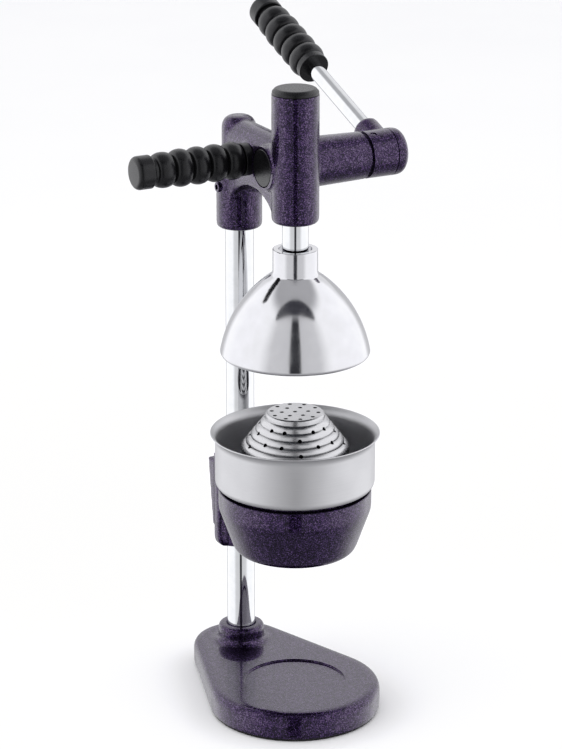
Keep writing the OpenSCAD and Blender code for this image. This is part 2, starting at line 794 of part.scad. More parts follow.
module bell() {
    top = dome_height(bell_neck_r + neck_fillet_r, dome_arc_r);
    lip = bell_wall / 2;
    outer = [for (i = [1:dome_steps])
        let (z = lip + (top - lip) * i / dome_steps) [dome_at(z, dome_arc_r), z]];
    inner = [for (i = [0:dome_steps])
        let (z = bell_depth * (1 - i / dome_steps)) [dome_at(z, inner_arc_r), z]];
    color(ALUMINIUM) translate([0, 0, bell_z]) difference() {
        rotate_extrude() polygon(concat([[0, bell_depth]], inner,
            arc(bell_r - lip, lip, lip, -90, 0), outer,
            arc(bell_neck_r + neck_fillet_r, top + neck_fillet_r, neck_fillet_r, 260, 180),
            [[bell_neck_r, bell_h - neck_edge], [bell_neck_r - neck_edge, bell_h], [0, bell_h]]));
        translate([0, 0, bell_h - rack_seat]) cylinder(r = rack_r + seat_gap, h = rack_seat + cut);
        translate([0, 0, bell_h - neck_ring_depth])
            cylinder(r = rack_r + neck_ring_w, h = neck_ring_depth + cut);
        cylinder(r = screw_r + free_gap, h = bell_h);
        translate([0, 0, bell_depth - cut]) cylinder(r = screw_pocket_r, h = screw_pocket_h + cut);
    }
}

module bell_washer() {
    color(ZINC) translate([0, 0, bell_ceiling + screw_head_h])
        tube(screw_head_r, screw_r + seat_gap, washer_t);
}

module bell_screw() {
    color(ZINC) translate([0, 0, bell_ceiling + screw_head_h])
        hex_screw(rack_z + rack_seat - screw_end_gap - bell_ceiling - screw_head_h);
}

module bowl() {
    floor_z = holder_top;
    flare_z = bowl_rim_z - flare_h;
    flare_end = 180 - atan2(flare_rise, flare_r - flare_out);
    outer = concat(
        arc(bowl_floor_r, floor_z + bowl_corner_r, bowl_corner_r, -90, 0),
        arc(bowl_r + flare_r, flare_z, flare_r, 180, flare_end));
    inner = concat(
        arc(bowl_r + flare_r, flare_z, flare_r + bowl_sheet, flare_end, 180),
        arc(bowl_floor_r, floor_z + bowl_corner_r, bowl_corner_r - bowl_sheet, 0, -90));
    funnel = [[spout_r, floor_z - funnel_h], [funnel_mouth_r, floor_z]];
    color(STAINLESS) {
        rotate_extrude() polygon(concat(funnel, outer, inner,
            [[funnel_mouth_r, floor_z + bowl_sheet], [spout_r, floor_z - funnel_h + 2 * bowl_sheet]]));
        translate([0, 0, bowl_rim_z - rim_roll_r])
            rotate_extrude() translate([rim_roll_x, 0]) circle(r = rim_roll_r, $fn = 24);
    }
}

module bowl_spout() {
    spout_z = holder_z - spout_below;
    funnel_z = holder_top - funnel_h + 2 * bowl_sheet;
    color(STAINLESS) translate([0, 0, spout_z])
        tube(spout_r - seat_gap, spout_r - 2 * bowl_sheet, funnel_z - spout_z);
}

module strainer() {
    beads = [for (i = [0:strainer_steps - 1], k = [0:bead_steps - 1]) bead(i, k / bead_steps)];
    outer = concat([[0, strainer_top_z], [strainer_top_r, strainer_top_z]], beads,
        [groove(strainer_steps), [strainer_skirt_r, strainer_z + strainer_sheet],
         [strainer_foot_r, strainer_z + strainer_sheet], [strainer_foot_r, strainer_z]]);
    inner = [for (i = [strainer_steps:-1:0]) groove(i) - strainer_sheet * slope_normal];
    color(STAINLESS) difference() {
        rotate_extrude() polygon(concat(outer,
            [[strainer_skirt_r - strainer_sheet, strainer_z]], inner,
            [[strainer_top_r - strainer_sheet, strainer_top_z - strainer_sheet],
             [0, strainer_top_z - strainer_sheet]]));
        top_hole(0, 0);
        for (i = [1:inner_ring_holes]) top_hole(inner_ring_r, 360 * i / inner_ring_holes);
        for (i = [1:outer_ring_holes]) top_hole(outer_ring_r, 360 * i / outer_ring_holes);
        for (band = [1, 3], i = [1:side_holes])
            side_hole(band + (i % 3 == 0 ? 1 : 0), 360 * i / side_holes);
    }
}

module top_hole(r, a) {
    rotate([0, 0, a + top_hole_turn]) translate([r, 0, strainer_top_z - 2 * strainer_sheet])
        cylinder(d = strainer_hole_d, h = 3 * strainer_sheet, $fn = 16);
}

// Hole square to the slope, in a groove
module side_hole(i, a) {
    tilt = atan(strainer_step_h / strainer_step_w);
    rotate([0, 0, a + side_hole_turn]) translate([groove(i)[0], 0, groove(i)[1]]) rotate([0, tilt, 0])
        translate([0, 0, -3 * strainer_sheet])
            cylinder(d = strainer_hole_d, h = 6 * strainer_sheet, $fn = 16);
}

// Plate of a clamp half with round lower corners, seen from behind
module clamp_plate(z, top) {
    inner = clamp_half_w - clamp_corner_r;
    translate([-clamp_half_w, z + clamp_corner_r]) square([2 * clamp_half_w, top - z - clamp_corner_r]);
    translate([-inner, z]) square([2 * inner, clamp_corner_r + cut]);
    for (x = [-1, 1]) translate([x * inner, z + clamp_corner_r]) circle(r = clamp_corner_r);
}

// Flange of a clamp half, from its rear face forwards
module clamp_flange(y, t, z, top) {
    translate([0, y, 0]) rotate([90, 0, 0]) linear_extrude(t) clamp_plate(z, top);
}

// Sleeve of a clamp half, before the column is cut out
module clamp_sleeve(z, top) {
    at_column() translate([0, 0, z]) cylinder(r = clamp_hump_r, h = top - z);
}

// Everything before or behind the clamp's slit
module clamp_side(side) {
    w = 2 * clamp_half_w;
    translate([-w, column_reach + side * clamp_slit / 2 - (side > 0 ? 0 : 2 * w), 0])
        cube([2 * w, 2 * w, bowl_rim_z]);
}

// Rear half's slope, from its thick top to its thin foot
module cap_slope() {
    at_column() translate([-clamp_half_w, 0, 0]) rotate([90, 0, 90]) linear_extrude(2 * clamp_half_w)
        polygon([[0, cap_z], [cap_foot_t, cap_z], [cap_top_t, cap_top], [0, cap_top]]);
}

module clamp_cuts() {
    at_column() translate([0, 0, clamp_z - cut]) cylinder(r = clamp_bore_r, h = clamp_h + 2 * cut);
    clamp_bolt_places() rotate([90, 0, 0]) {
        translate([0, 0, -bolt_seat]) cylinder(r = bolt_r + seat_gap, h = bolt_seat + clamp_bolt_l);
        translate([0, 0, -clamp_hump_r]) cylinder(r = clamp_washer_r + free_gap, h = clamp_hump_r);
    }
}

// Where the washers of the two clamp bolts rest
module clamp_bolt_places() {
    for (x = [-bolt_x, bolt_x]) translate([x, column_reach + bolt_seat, cap_top - bolt_drop]) children();
}

module cup_outline() {
    lean = atan((cup_r - cup_foot_r) / (cup_h - cup_band_h - cup_edge_r));
    polygon(concat([[0, holder_z]],
        arc(cup_foot_r - cup_edge_r, holder_z + cup_edge_r, cup_edge_r, -90, -lean),
        [[cup_r, holder_top - cup_band_h], [cup_r, holder_top - cup_rim_edge],
         [cup_r - cup_rim_edge, holder_top], [0, holder_top]]));
}

module holder() {
    arm_z = holder_z + cup_edge_r;
    color(PAINT) difference() {
        union() {
            rotate_extrude() cup_outline();
            translate([-cup_arm_w / 2, 0, arm_z])
                cube([cup_arm_w, column_reach - column_r, holder_top - cup_edge_r - arm_z]);
            intersection() {
                union() {
                    clamp_flange(column_reach, clamp_t, clamp_z, holder_top);
                    clamp_sleeve(clamp_z, holder_top);
                }
                clamp_side(-1);
            }
        }
        rotate_extrude() polygon([[0, holder_z + cup_wall], [cup_foot_r - cup_edge_r, holder_z + cup_wall],
            [cup_r - cup_wall, holder_top - cup_band_h], [cup_r - cup_wall, holder_top + cut],
            [0, holder_top + cut]]);
        translate([0, 0, holder_z - cut]) cylinder(r = spout_r + free_gap, h = 2 * cup_wall);
        clamp_cuts();
    }
}

module clamp_cap() {
    color(PAINT) difference() {
        intersection() {
            union() {
                intersection() {
                    clamp_flange(column_reach + cap_top_t, cap_top_t, cap_z, cap_top);
                    cap_slope();
                }
                clamp_sleeve(cap_z, cap_top);
            }
            clamp_side(1);
        }
        clamp_cuts();
    }
}

module clamp_washers() {
    color(ZINC) clamp_bolt_places() rotate([-90, 0, 0]) tube(clamp_washer_r, bolt_r + seat_gap, washer_t);
}

module clamp_bolts() {
    color(ZINC) clamp_bolt_places() translate([0, washer_t, 0]) rotate([90, 0, 0]) {
        cylinder(r = bolt_r, h = clamp_bolt_l);
        translate([0, 0, -clamp_head_h]) tube(clamp_head_r, bolt_r / 2, clamp_head_h);
    }
}

base();
foot_ring();
column();
column_plug();
column_bolt();
column_washer();
base_screw();
head();
head_screw();
lower_guide_bush();
upper_guide_bush();
top_cap();
end_plug();
left_shaft_bush();
right_shaft_bush();
side_grip_stud();
side_grip();
pinion_shaft();
lever_hub();
hub_pin();
lever_arm();
lever_grip();
rack();
bell();
bell_washer();
bell_screw();
holder();
clamp_cap();
clamp_bolts();
clamp_washers();
bowl();
bowl_spout();
strainer();
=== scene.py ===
import bpy
from math import asin, atan2, cos, pi, radians, sin, sqrt, tan
from mathutils import Euler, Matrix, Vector


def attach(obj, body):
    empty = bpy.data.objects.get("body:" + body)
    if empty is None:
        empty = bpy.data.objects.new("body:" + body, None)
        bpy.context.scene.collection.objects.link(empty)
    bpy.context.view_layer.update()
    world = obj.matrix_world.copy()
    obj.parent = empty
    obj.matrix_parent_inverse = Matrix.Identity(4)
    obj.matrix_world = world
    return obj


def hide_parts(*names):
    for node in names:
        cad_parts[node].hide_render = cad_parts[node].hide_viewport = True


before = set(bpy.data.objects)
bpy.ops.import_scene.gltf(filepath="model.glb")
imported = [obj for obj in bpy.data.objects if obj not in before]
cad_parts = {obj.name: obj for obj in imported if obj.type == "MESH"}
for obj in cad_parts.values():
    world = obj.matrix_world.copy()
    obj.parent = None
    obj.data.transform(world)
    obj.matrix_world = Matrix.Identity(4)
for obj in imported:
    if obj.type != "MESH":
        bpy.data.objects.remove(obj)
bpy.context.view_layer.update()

# Studio. A sweep of pale paper, a grey wall behind the camera with the dark camera stand before it,
# white panels to its left and right, and a ceiling with a dark patch just above the camera. Nearly
# all the light is in the surroundings, so that polished metal shows soft bands from any side.
MM = 0.001
FILM_HEIGHT, PICTURE_HEIGHT, FOCAL_PIXELS = 36, 749, 3000
VIEW_YAW, VIEW_PITCH = radians(27.7), radians(18.6)
VIEW_DISTANCE, VIEW_HEIGHT, VIEW_SIDE = 2.860, 0.346, 0.01344
ahead = Vector((sin(VIEW_YAW) * cos(VIEW_PITCH), cos(VIEW_YAW) * cos(VIEW_PITCH), -sin(VIEW_PITCH)))
across = Vector((cos(VIEW_YAW), -sin(VIEW_YAW), 0))
camera = bpy.data.objects.new("camera", bpy.data.cameras.new("camera"))
camera.data.lens = FOCAL_PIXELS * FILM_HEIGHT / PICTURE_HEIGHT
camera.data.clip_end = 60
camera.location = Vector((0, 0, VIEW_HEIGHT)) - VIEW_DISTANCE * ahead - VIEW_SIDE * across
camera.rotation_euler = ahead.to_track_quat("-Z", "Y").to_euler()
bpy.context.scene.collection.objects.link(camera)
bpy.context.scene.camera = camera
contrast = bpy.context.scene.view_settings
contrast.view_transform = "Standard"
contrast.use_curve_mapping = True
for spot in ((0.03, 0.015), (0.10, 0.095), (0.45, 0.47), (0.80, 0.86), (0.94, 1.0)):
    contrast.curve_mapping.curves[3].points.new(*spot)
contrast.curve_mapping.update()


def calculate(nodes, links, step, *values):
    """One sum on numbers or sockets."""
    sum_node = nodes.new("ShaderNodeMath")
    sum_node.operation = step
    for socket, value in zip(sum_node.inputs, values):
        if isinstance(value, (int, float)):
            socket.default_value = value
        else:
            links.new(value, socket)
    return sum_node.outputs[0]


def spread(nodes, links, value, low, high, to_low, to_high):
    """Stretches a value from one range to another, with soft ends."""
    stretch = nodes.new("ShaderNodeMapRange")
    stretch.interpolation_type = "SMOOTHSTEP"
    links.new(value, stretch.inputs["Value"])
    for name, number in zip(("From Min", "From Max", "To Min", "To Max"), (low, high, to_low, to_high)):
        stretch.inputs[name].default_value = number
    return stretch.outputs["Result"]


def ramp(nodes, links, value, stops):
    """Turns a value into a colour through the given stops."""
    colours = nodes.new("ShaderNodeValToRGB")
    while len(colours.color_ramp.elements) < len(stops):
        colours.color_ramp.elements.new(0.5)
    for stop, (place, colour) in zip(colours.color_ramp.elements, stops):
        stop.position = place
        stop.color = (*colour, 1)
    links.new(value, colours.inputs["Fac"])
    return colours.outputs["Color"]


def blend(nodes, links, factor, first, second):
    """Goes from one colour to another by a factor from 0 to 1."""
    mix = nodes.new("ShaderNodeMix")
    mix.data_type = "RGBA"
    links.new(factor, mix.inputs["Factor"])
    for name, colour in (("A", first), ("B", second)):
        if isinstance(colour, tuple):
            mix.inputs[name].default_value = (*colour, 1)
        else:
            links.new(colour, mix.inputs[name])
    return mix.outputs["Result"]


STAND, STAND_EDGE = (0.08, 0.08, 0.085), 0.044
PATCH_HALF_WIDTH, PATCH_DEPTH, PATCH_FRONT = 0.72, 0.34, 0.66
surroundings = bpy.data.worlds.new("studio")
surroundings.use_nodes = True
bpy.context.scene.world = surroundings
nodes, links = surroundings.node_tree.nodes, surroundings.node_tree.links
direction = nodes.new("ShaderNodeSeparateXYZ")
links.new(nodes.new("ShaderNodeTexCoord").outputs["Generated"], direction.inputs[0])
east, north, height = direction.outputs
to_front = calculate(nodes, links, "ADD", calculate(nodes, links, "MULTIPLY", east, -sin(VIEW_YAW)),
                     calculate(nodes, links, "MULTIPLY", north, -cos(VIEW_YAW)))
to_right = calculate(nodes, links, "ADD", calculate(nodes, links, "MULTIPLY", east, cos(VIEW_YAW)),
                     calculate(nodes, links, "MULTIPLY", north, -sin(VIEW_YAW)))
bearing = calculate(nodes, links, "ABSOLUTE", calculate(nodes, links, "ARCTAN2", to_right, to_front))
half_turns = calculate(nodes, links, "DIVIDE", bearing, pi)
farthest = spread(nodes, links, height, 0.05, 0.25, 1.0, 0.8)
walls = ramp(nodes, links, calculate(nodes, links, "MINIMUM", half_turns, farthest), [
    (0.000, STAND), (STAND_EDGE, STAND), (0.054, (0.84, 0.84, 0.86)), (0.220, (0.90, 0.90, 0.92)),
    (0.320, (1.34, 1.34, 1.37)), (0.760, (1.42, 1.42, 1.45)), (0.830, (0.76, 0.76, 0.78)),
    (1.000, (0.50, 0.50, 0.52))])
above_ground = spread(nodes, links, height, -0.78, -0.36, 0, 1)
ground = blend(nodes, links, above_ground, (0.52, 0.52, 0.54), walls)
up = calculate(nodes, links, "MAXIMUM", height, 0.05)
ceiling_x = calculate(nodes, links, "DIVIDE", to_right, up)
ceiling_y = calculate(nodes, links, "DIVIDE", to_front, up)
overhead = spread(nodes, links, height, 0.74, 0.88, 0, 1)
ceiling = blend(nodes, links, overhead, ground, (0.58, 0.58, 0.60))
patch_x = calculate(nodes, links, "DIVIDE", ceiling_x, PATCH_HALF_WIDTH)
patch_y = calculate(nodes, links, "DIVIDE",
                    calculate(nodes, links, "SUBTRACT", ceiling_y, PATCH_FRONT), PATCH_DEPTH)
half_round = calculate(nodes, links, "ADD", calculate(nodes, links, "POWER", patch_x, 2),
                       calculate(nodes, links, "POWER", patch_y, 2))
dark_patch = calculate(nodes, links, "MULTIPLY", spread(nodes, links, half_round, 0.94, 1.06, 1, 0),
                       spread(nodes, links, ceiling_y, 0.655, 0.685, 1, 0))
patched = blend(nodes, links, dark_patch, ceiling, (0.09, 0.09, 0.10))
seen = nodes.new("ShaderNodeLightPath").outputs["Is Camera Ray"]
links.new(blend(nodes, links, seen, patched, (0.98, 0.98, 0.98)), nodes["Background"].inputs["Color"])


def finish(name):
    """A new material with its shader and the place on the piece, ready for the nodes of one finish."""
    made = bpy.data.materials.new(name)
    made.use_nodes = True
    made_nodes, made_links = made.node_tree.nodes, made.node_tree.links
    place = made_nodes.new("ShaderNodeTexCoord").outputs["Object"]
    return made, made_nodes, made_links, made_nodes["Principled BSDF"], place


def grain(nodes, links, place, size, detail=3.0, roughness=0.5):
    """Noise whose patches are about the given size across, from 0 to 1."""
    noise = nodes.new("ShaderNodeTexNoise")
    noise.inputs["Scale"].default_value = 1 / size
    noise.inputs["Detail"].default_value = detail
    noise.inputs["Roughness"].default_value = roughness
    links.new(place, noise.inputs["Vector"])
    return noise.outputs["Fac"]


def tint(nodes, links, shader, tone, dark, light):
    """Colours a finish between two shades by a tone from 0 to 1."""
    links.new(ramp(nodes, links, tone, [(0.3, dark), (0.7, light)]), shader.inputs["Base Color"])


paper, nodes, links, shader, place = finish("paper")
tint(nodes, links, shader, grain(nodes, links, place, 0.4), (0.93, 0.93, 0.93), (0.95, 0.95, 0.95))
shader.inputs["Roughness"].default_value = 0.9
shader.inputs["Specular IOR Level"].default_value = 0.1
bpy.ops.object.select_all(action="DESELECT")
bpy.ops.mesh.primitive_plane_add(size=30)
floor = bpy.context.object
floor.name = "floor"
floor.data.materials.append(paper)
floor.visible_glossy = False
softbox = bpy.data.objects.new("softbox", bpy.data.lights.new("softbox", "AREA"))
softbox.data.shape = "DISK"
softbox.data.size = 2.6
softbox.data.energy = 20
softbox.location = (-0.5, -0.3, 2.6)
softbox.rotation_euler = (Vector((0, 0, 0.3)) - softbox.location).to_track_quat("-Z", "Y").to_euler()
softbox.visible_glossy = False
bpy.context.scene.collection.objects.link(softbox)

# Base. A heavy casting in the shape of a pear, hollow below, with a sunk ring that centres the
# glass and a socket for the column. Cast iron under a dark purple hammer finish paint.
BASE_FRONT_R, BASE_REAR_R, COLUMN_Y = 84 * MM, 48 * MM, 116 * MM
BASE_TOP, BASE_EDGE, BASE_WALL, BASE_HOLLOW_TOP = 28.2, 7, 12, 18
SOCKET_R, SOCKET_TOP = 23.2, 46.2
FOOT_TOP = 5
FLAKE = 0.7 * MM


def polish(nodes, links, shader, tone, smooth, rough):
    """Sets a finish between two roughnesses by a tone from 0 to 1."""
    links.new(spread(nodes, links, tone, 0.3, 0.7, smooth, rough), shader.inputs["Roughness"])


def relief(nodes, links, shader, height, depth):
    """Raises and sinks the surface a little by a height from 0 to 1."""
    bump = nodes.new("ShaderNodeBump")
    bump.inputs["Strength"].default_value = 1.0
    bump.inputs["Distance"].default_value = depth
    links.new(height, bump.inputs["Height"])
    links.new(bump.outputs["Normal"], shader.inputs["Normal"])


hammer_paint, nodes, links, shader, place = finish("hammer_paint")
flakes = nodes.new("ShaderNodeTexVoronoi")
flakes.inputs["Scale"].default_value = 1 / FLAKE
links.new(place, flakes.inputs["Vector"])
flake_tone = nodes.new("ShaderNodeSeparateColor")
links.new(flakes.outputs["Color"], flake_tone.inputs["Color"])
drift = grain(nodes, links, place, 5 * MM)
speckle = calculate(nodes, links, "ADD",
                    calculate(nodes, links, "MULTIPLY", flake_tone.outputs["Red"], 0.75),
                    calculate(nodes, links, "MULTIPLY", drift, 0.25))
links.new(ramp(nodes, links, speckle, [
    (0.10, (0.003, 0.001, 0.006)), (0.45, (0.012, 0.005, 0.024)), (0.70, (0.054, 0.030, 0.090)),
    (0.92, (0.155, 0.112, 0.212))]), shader.inputs["Base Color"])
polish(nodes, links, shader, grain(nodes, links, place, 2 * MM), 0.22, 0.34)
shader.inputs["Metallic"].default_value = 0.75
shader.inputs["Specular IOR Level"].default_value = 0.2
shader.inputs["Coat Weight"].default_value = 0.7
shader.inputs["Coat Roughness"].default_value = 0.08
relief(nodes, links, shader, calculate(nodes, links, "ADD", flakes.outputs["Distance"], drift), 0.10 * MM)


def deselect():
    """Leaves nothing selected, so that the next operator acts on the new piece alone."""
    if bpy.context.object and bpy.context.object.mode != "OBJECT":
        bpy.ops.object.mode_set(mode="OBJECT")
    bpy.ops.object.select_all(action="DESELECT")


def pick(piece):
    """Selects one piece and makes it the active one."""
    deselect()
    piece.select_set(True)
    bpy.context.view_layer.objects.active = piece


def settle(piece):
    """Puts a piece's place, turn and size into its mesh."""
    pick(piece)
    bpy.ops.object.transform_apply(location=True, rotation=True, scale=True)
    return piece


def soft(corners, steps=6):
    """Half a section as points: a corner is (radius, height) or (radius, height, rounding)."""
    path = []
    for i, corner in enumerate(corners):
        spot = Vector(corner[:2])
        if len(corner) < 3:
            path.append(tuple(spot))
            continue
        back = (Vector(corners[i - 1][:2]) - spot).normalized()
        on = (Vector(corners[(i + 1) % len(corners)][:2]) - spot).normalized()
        half = back.angle(on) / 2
        middle = spot + (back + on).normalized() * corner[2] / sin(half)
        first = spot + back * corner[2] / tan(half) - middle
        last = spot + on * corner[2] / tan(half) - middle
        swing = atan2(first.x * last.y - first.y * last.x, first.dot(last))
        for k in range(steps + 1):
            a = swing * k / steps
            path.append((middle.x + first.x * cos(a) - first.y * sin(a),
                         middle.y + first.x * sin(a) + first.y * cos(a)))
    return path


def draw(name, path):
    """Starts a piece as a line of points in millimetres, across X and up Z, left in edit mode."""
    deselect()
    bpy.ops.mesh.primitive_plane_add(size=MM)
    piece = bpy.context.object
    piece.name = piece.data.name = name
    bpy.ops.object.mode_set(mode="EDIT")
    bpy.ops.mesh.select_all(action="SELECT")
    bpy.ops.mesh.merge(type="CENTER")
    bpy.ops.transform.translate(value=(path[0][0] * MM, 0, path[0][1] * MM))
    for (x0, z0), (x1, z1) in zip(path, path[1:]):
        way = ((x1 - x0) * MM, 0, (z1 - z0) * MM)
        bpy.ops.mesh.extrude_region_move(TRANSFORM_OT_translate={"value": way})
    bpy.ops.mesh.select_all(action="SELECT")
    return piece


def close(piece, at, turn):
    """Welds the points of a drawn piece, turns its faces outwards and puts it in its place."""
    bpy.ops.mesh.select_all(action="SELECT")
    bpy.ops.mesh.remove_doubles(threshold=0.001 * MM)
    bpy.ops.mesh.normals_make_consistent(inside=False)
    bpy.ops.object.mode_set(mode="OBJECT")
    piece.location = at
    piece.rotation_euler = turn
    return settle(piece)


def turned(name, section, steps=96, at=(0, 0, 0), turn=(0, 0, 0)):
    """Turns a piece as on a lathe: draws half its section and spins it round its axis."""
    piece = draw(name, section)
    bpy.ops.mesh.spin(steps=steps, angle=2 * pi, center=(0, 0, 0), axis=(0, 0, 1))
    return close(piece, at, turn)


def round_bar(name, radius, low, high, steps=96, at=(0, 0, 0), turn=(0, 0, 0)):
    """A plain round bar between two heights, to cut a bore with or to build a casting from."""
    return turned(name, [(0, low), (radius, low), (radius, high), (0, high)], steps, at, turn)


def plate(name, outline, depth, at=(0, 0, 0), turn=(0, 0, 0)):
    """Draws a closed outline, fills it and pulls it out backwards along Y."""
    piece = draw(name, outline + outline[:1])
    bpy.ops.mesh.remove_doubles(threshold=0.001 * MM)
    bpy.ops.mesh.edge_face_add()
    bpy.ops.mesh.extrude_region_move(TRANSFORM_OT_translate={"value": (0, depth * MM, 0)})
    return close(piece, at, turn)


def apply(piece, kind, **settings):
    """Adds a modifier with these settings and applies it."""
    pick(piece)
    modifier = piece.modifiers.new(kind.lower(), kind)
    modifier.show_viewport = False
    for name, value in settings.items():
        setattr(modifier, name, value)
    bpy.ops.object.modifier_apply(modifier=modifier.name)


def cut(piece, tool, how="DIFFERENCE"):
    """Cuts a tool out of a piece, or keeps only what lies inside it, and uses the tool up."""
    apply(piece, "BOOLEAN", operation=how, object=tool, solver="EXACT")
    bpy.data.objects.remove(tool)


def cast(name, parts, cell, rounds):
    """Runs solids together into one casting with soft inner and outer corners."""
    pick(parts[0])
    for part in parts[1:]:
        part.select_set(True)
    bpy.ops.object.join()
    piece = bpy.context.object
    piece.name = piece.data.name = name
    apply(piece, "REMESH", mode="VOXEL", voxel_size=cell)
    apply(piece, "SMOOTH", factor=0.5, iterations=rounds)
    apply(piece, "SUBSURF", levels=1)
    return piece


def dress(piece, material, body, replaced, angle=35):
    """Smooths the round faces, keeps the sharp edges, and puts the piece on its body with its finish."""
    pick(piece)
    bpy.ops.object.shade_smooth_by_angle(angle=radians(angle))
    apply(piece, "WEIGHTED_NORMAL", keep_sharp=True)
    piece.data.materials.clear()
    piece.data.materials.append(material)
    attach(piece, body)
    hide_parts(replaced)


def pear(name, inset, low, high):
    """A block on the base's plan, drawn in by inset: two arcs joined by their tangents."""
    lean = asin((BASE_FRONT_R - BASE_REAR_R) / COLUMN_Y)
    plan = []
    for middle, radius, start, swing, steps in ((0, BASE_FRONT_R, pi - lean, pi + 2 * lean, 72),
                                                (COLUMN_Y, BASE_REAR_R, lean, pi - 2 * lean, 48)):
        for k in range(steps + 1):
            a = start + swing * k / steps
            reach = radius / MM - inset
            plan.append((reach * cos(a), -middle / MM - reach * sin(a)))
    return plate(name, plan, high - low, at=(0, 0, low * MM), turn=(pi / 2, 0, 0))


def round_rim(piece, high, width, segments):
    """Rounds the edges of a block that lie at one height."""
    pick(piece)
    corners = piece.data.vertices
    for edge in piece.data.edges:
        edge.select = all(abs(corners[v].co.z - high * MM) < 0.01 * MM for v in edge.vertices)
    for face in piece.data.polygons:
        face.select = False
    bpy.ops.object.mode_set(mode="EDIT")
    bpy.ops.mesh.select_mode(type="EDGE")
    bpy.ops.mesh.bevel(offset=width * MM, segments=segments, affect="EDGES")
    bpy.ops.mesh.select_mode(type="VERT")
    bpy.ops.object.mode_set(mode="OBJECT")
    return piece


at_column = (0, COLUMN_Y, 0)
base_block = round_rim(pear("base_block", 0, -2, BASE_TOP), BASE_TOP, BASE_EDGE, 6)
socket = turned("socket", soft([(0, 10), (34, 10), (34, 27), (SOCKET_R, 29, 6), (SOCKET_R, SOCKET_TOP, 3),
                                (0, SOCKET_TOP)]), at=at_column)
base = cast("base_cast", [base_block, socket], 2.4 * MM, 4)
hollow = pear("hollow", BASE_WALL, -9, BASE_HOLLOW_TOP)
cut(hollow, round_bar("stem", 23, -12, 30, at=at_column))
cut(base, hollow)
foot_groove = pear("foot_groove", 1.98, -9, FOOT_TOP)
cut(foot_groove, pear("foot_core", 10.02, -12, 9))
cut(base, foot_groove)
cut(base, round_bar("underside", 200, -9, 3, steps=32))
cut(base, turned("glass_rest", soft([(0, 26.5), (50, 26.5, 1), (50, 28.4), (52, 33), (0, 33)])))
cut(base, turned("column_seat", [(0, -8), (10, -8), (10, 15), (5.5, 15), (5.5, 20), (14.02, 20),
                                 (14.02, 44.6), (17, 48), (0, 48)], at=at_column))
dress(base, hammer_paint, "frame", "base")

# Foot ring. A band of soft black rubber pressed into a groove under the edge of the base, with a
# rounded lower edge and a fine moulded grain.
foot_rubber, nodes, links, shader, place = finish("foot_rubber")
tint(nodes, links, shader, grain(nodes, links, place, 12 * MM), (0.018, 0.018, 0.018), (0.032, 0.031, 0.030))
pores = grain(nodes, links, place, 0.5 * MM, 4)
polish(nodes, links, shader, pores, 0.7, 0.88)
relief(nodes, links, shader, pores, 0.08 * MM)
foot = round_rim(pear("foot_ring_rubber", 2, 0, FOOT_TOP), 0, 1.2, 4)
cut(foot, pear("foot_inside", 10, -4, 9))
dress(foot, foot_rubber, "frame", "foot_ring")

# Column. A steel tube, ground and chromed, that stands in the base's socket. A plug in its foot
# takes the bolt that comes up through the base, and a grub screw holds it from behind.
COLUMN_R, COLUMN_BORE, COLUMN_FOOT, COLUMN_TOP = 14, 11.5, 20, 564
chrome_plate, nodes, links, shader, place = finish("chrome_plate")
haze = grain(nodes, links, place, 9 * MM, 5)
tint(nodes, links, shader, haze, (0.62, 0.63, 0.64), (0.67, 0.68, 0.69))
links.new(spread(nodes, links, haze, 0.35, 0.75, 0.035, 0.075), shader.inputs["Roughness"])
shader.inputs["Metallic"].default_value = 1.0
relief(nodes, links, shader, grain(nodes, links, place, 30 * MM, 1), 0.03 * MM)
zinc_steel, nodes, links, shader, place = finish("zinc_steel")
crystals = grain(nodes, links, place, 1.5 * MM, 6)
tint(nodes, links, shader, crystals, (0.36, 0.37, 0.38), (0.48, 0.49, 0.50))
polish(nodes, links, shader, crystals, 0.28, 0.46)
shader.inputs["Metallic"].default_value = 1.0
black_steel, nodes, links, shader, place = finish("black_steel")
oxide = grain(nodes, links, place, 1.2 * MM, 5)
tint(nodes, links, shader, oxide, (0.020, 0.019, 0.022), (0.045, 0.042, 0.048))
polish(nodes, links, shader, oxide, 0.32, 0.5)
shader.inputs["Metallic"].default_value = 0.7
tube = soft([(COLUMN_BORE, COLUMN_FOOT), (COLUMN_R, COLUMN_FOOT, 0.8), (COLUMN_R, COLUMN_TOP, 0.8),
             (COLUMN_BORE, COLUMN_TOP)])
column = turned("column_tube", tube + tube[:1], steps=128, at=at_column)
dress(column, chrome_plate, "frame", "column")


def carried(material, *names):
    """Gives CAD solids that stay in the model a finish of their own."""
    for name in names:
        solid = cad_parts[name]
        solid.data.materials.clear()
        solid.data.materials.append(material)


carried(zinc_steel, "column_plug", "column_bolt", "column_washer")


def hex_socket(screw, radius, height, at, turn):
    """Sinks a hexagon socket into the end of a screw, at a height along the screw's own axis."""
    deselect()
    bpy.ops.mesh.primitive_cylinder_add(vertices=6, radius=radius * MM, depth=6 * MM)
    key = bpy.context.object
    key.location = Vector(at) + Euler(turn).to_matrix() @ Vector((0, 0, height * MM))
    key.rotation_euler = turn
    cut(screw, settle(key))


def grub_screw(name, inner, outer, at, turn):
    """A set screw: a threaded pin with a hexagon socket in its outer end."""
    section = soft([(0, inner), (5, inner, 0.8), (5, outer, 0.9), (0, outer)])
    screw = turned(name, section, steps=48, at=at, turn=turn)
    hex_socket(screw, 2.9, outer, at, turn)
    return screw


base_screw = grub_screw("base_set_screw", 14.1, 26.4, (0, COLUMN_Y, 37 * MM), (-pi / 2, 0, 0))
dress(base_screw, black_steel, "frame", "base_screw")

# Cup. One casting: a round cup for the bowl, a short arm and the front half of the clamp that
# grips the column. The cup's seat, the clamp's bore and its joint face are machined.
CLAMP_FOOT, CAST_TOP, CUP_TOP = 134.8, 239, 234
SLEEVE_R, CLAMP_BORE, FLANGE_HALF, FLANGE_CORNER = 21.3, 14.04, 29.7, 11


